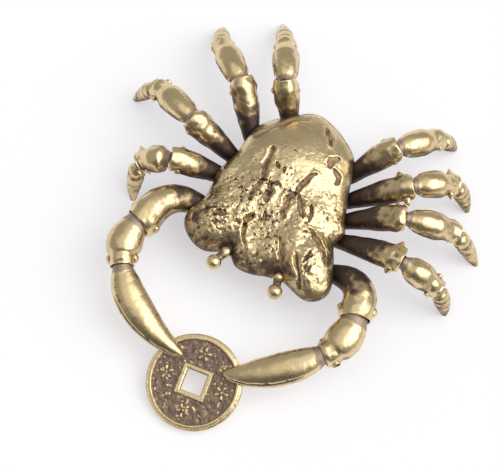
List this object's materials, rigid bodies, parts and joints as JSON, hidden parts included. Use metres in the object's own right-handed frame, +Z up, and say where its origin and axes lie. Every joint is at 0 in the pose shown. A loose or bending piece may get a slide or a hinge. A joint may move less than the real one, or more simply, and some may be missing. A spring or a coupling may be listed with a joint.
{
  "type": "crab figurine",
  "caption": "Cast brass crab figurine with pinned, posable legs, holding a round square-holed coin between both claws.",
  "frame": {"origin": "on the floor under the middle of the crab's outline", "axes": "+Z up, -Y the way the crab looks, +X towards the crab's own left"},
  "size_m": [0.0796, 0.0894, 0.0157],
  "materials": {
    "shell_brass": "worn polish with dark patina in the grooves",
    "limb_brass": "worn polish, dark at the roots and necks",
    "pin_brass": "worn polish",
    "underbody_brass": "dark as-cast patina",
    "coin_brass": "dark rough field, polished rim and frame"
  },
  "bodies": {
    "body": {"carapace": "shell_brass", "underbody": "underbody_brass", "right_eye": "limb_brass", "left_eye": "limb_brass", "right_upper_arm": "limb_brass", "right_wrist": "limb_brass", "right_claw": "limb_brass", "right_elbow_pin": "pin_brass", "right_wrist_pin": "pin_brass", "left_upper_arm": "limb_brass", "left_wrist": "limb_brass", "left_claw": "limb_brass", "left_elbow_pin": "pin_brass", "left_wrist_pin": "pin_brass", "coin": "coin_brass", "right_leg_1_thigh": "limb_brass", "right_leg_1_knee_pin": "pin_brass", "right_leg_2_thigh": "limb_brass", "right_leg_2_knee_pin": "pin_brass", "right_leg_3_thigh": "limb_brass", "right_leg_3_knee_pin": "pin_brass", "right_leg_4_thigh": "limb_brass", "right_leg_4_knee_pin": "pin_brass", "left_leg_1_thigh": "limb_brass", "left_leg_1_knee_pin": "pin_brass", "left_leg_2_thigh": "limb_brass", "left_leg_2_knee_pin": "pin_brass", "left_leg_3_thigh": "limb_brass", "left_leg_3_knee_pin": "pin_brass", "left_leg_4_thigh": "limb_brass", "left_leg_4_knee_pin": "pin_brass"},
    "right_leg_1_shin": {"right_leg_1_shin": "limb_brass", "right_leg_1_ankle_pin": "pin_brass"},
    "right_leg_1_tip": {"right_leg_1_tip": "limb_brass"},
    "right_leg_2_shin": {"right_leg_2_shin": "limb_brass", "right_leg_2_ankle_pin": "pin_brass"},
    "right_leg_2_tip": {"right_leg_2_tip": "limb_brass"},
    "right_leg_3_shin": {"right_leg_3_shin": "limb_brass", "right_leg_3_ankle_pin": "pin_brass"},
    "right_leg_3_tip": {"right_leg_3_tip": "limb_brass"},
    "right_leg_4_shin": {"right_leg_4_shin": "limb_brass", "right_leg_4_ankle_pin": "pin_brass"},
    "right_leg_4_tip": {"right_leg_4_tip": "limb_brass"},
    "left_leg_1_shin": {"left_leg_1_shin": "limb_brass", "left_leg_1_ankle_pin": "pin_brass"},
    "left_leg_1_tip": {"left_leg_1_tip": "limb_brass"},
    "left_leg_2_shin": {"left_leg_2_shin": "limb_brass", "left_leg_2_ankle_pin": "pin_brass"},
    "left_leg_2_tip": {"left_leg_2_tip": "limb_brass"},
    "left_leg_3_shin": {"left_leg_3_shin": "limb_brass", "left_leg_3_ankle_pin": "pin_brass"},
    "left_leg_3_tip": {"left_leg_3_tip": "limb_brass"},
    "left_leg_4_shin": {"left_leg_4_shin": "limb_brass", "left_leg_4_ankle_pin": "pin_brass"},
    "left_leg_4_tip": {"left_leg_4_tip": "limb_brass"}
  },
  "joints": [
    {"name": "right_leg_1_knee", "type": "hinge", "parent": "body", "child": "right_leg_1_shin", "pos_m": [-0.02169, 0.00229, 0.0124], "axis": [-0.2298, 0.9732, 0], "range_deg": [-15, 15]},
    {"name": "right_leg_1_ankle", "type": "hinge", "parent": "right_leg_1_shin", "child": "right_leg_1_tip", "pos_m": [-0.02889, 0.00059, 0.0084], "axis": [-0.7119, 0.7023, 0], "range_deg": [-15, 15]},
    {"name": "right_leg_2_knee", "type": "hinge", "parent": "body", "child": "right_leg_2_shin", "pos_m": [-0.02199, 0.01089, 0.0124], "axis": [0.392, 0.92, 0], "range_deg": [-15, 15]},
    {"name": "right_leg_2_ankle", "type": "hinge", "parent": "right_leg_2_shin", "child": "right_leg_2_tip", "pos_m": [-0.03349, 0.01579, 0.0084], "axis": [0.2281, 0.9736, 0], "range_deg": [-15, 15]},
    {"name": "right_leg_3_knee", "type": "hinge", "parent": "body", "child": "right_leg_3_shin", "pos_m": [-0.01769, 0.02219, 0.0124], "axis": [0.6699, 0.7425, 0], "range_deg": [-15, 15]},
    {"name": "right_leg_3_ankle", "type": "hinge", "parent": "right_leg_3_shin", "child": "right_leg_3_tip", "pos_m": [-0.02689, 0.03049, 0.0084], "axis": [0.7698, 0.6383, 0], "range_deg": [-15, 15]},
    {"name": "right_leg_4_knee", "type": "hinge", "parent": "body", "child": "right_leg_4_shin", "pos_m": [-0.00999, 0.02599, 0.0124], "axis": [0.8875, 0.4608, 0], "range_deg": [-15, 15]},
    {"name": "right_leg_4_ankle", "type": "hinge", "parent": "right_leg_4_shin", "child": "right_leg_4_tip", "pos_m": [-0.01539, 0.03639, 0.0084], "axis": [0.8786, 0.4775, 0], "range_deg": [-15, 15]},
    {"name": "left_leg_1_knee", "type": "hinge", "parent": "body", "child": "left_leg_1_shin", "pos_m": [0.02571, 0.00339, 0.0124], "axis": [-0.0225, -0.9997, 0], "range_deg": [-15, 15]},
    {"name": "left_leg_1_ankle", "type": "hinge", "parent": "left_leg_1_shin", "child": "left_leg_1_tip", "pos_m": [0.03461, 0.00319, 0.0084], "axis": [-0.1164, -0.9932, 0], "range_deg": [-15, 15]},
    {"name": "left_leg_2_knee", "type": "hinge", "parent": "body", "child": "left_leg_2_shin", "pos_m": [0.02231, 0.01129, 0.0124], "axis": [0.359, -0.9333, 0], "range_deg": [-15, 15]},
    {"name": "left_leg_2_ankle", "type": "hinge", "parent": "left_leg_2_shin", "child": "left_leg_2_tip", "pos_m": [0.03271, 0.01529, 0.0084], "axis": [0.1774, -0.9841, 0], "range_deg": [-15, 15]},
    {"name": "left_leg_3_knee", "type": "hinge", "parent": "body", "child": "left_leg_3_shin", "pos_m": [0.02071, 0.01759, 0.0124], "axis": [0.6766, -0.7363, 0], "range_deg": [-15, 15]},
    {"name": "left_leg_3_ankle", "type": "hinge", "parent": "left_leg_3_shin", "child": "left_leg_3_tip", "pos_m": [0.02811, 0.02439, 0.0084], "axis": [0.4789, -0.8779, 0], "range_deg": [-15, 15]},
    {"name": "left_leg_4_knee", "type": "hinge", "parent": "body", "child": "left_leg_4_shin", "pos_m": [0.01471, 0.02339, 0.0124], "axis": [0.7909, -0.612, 0], "range_deg": [-15, 15]},
    {"name": "left_leg_4_ankle", "type": "hinge", "parent": "left_leg_4_shin", "child": "left_leg_4_tip", "pos_m": [0.02121, 0.03179, 0.0084], "axis": [0.7796, -0.6263, 0], "range_deg": [-15, 15]}
  ]
}
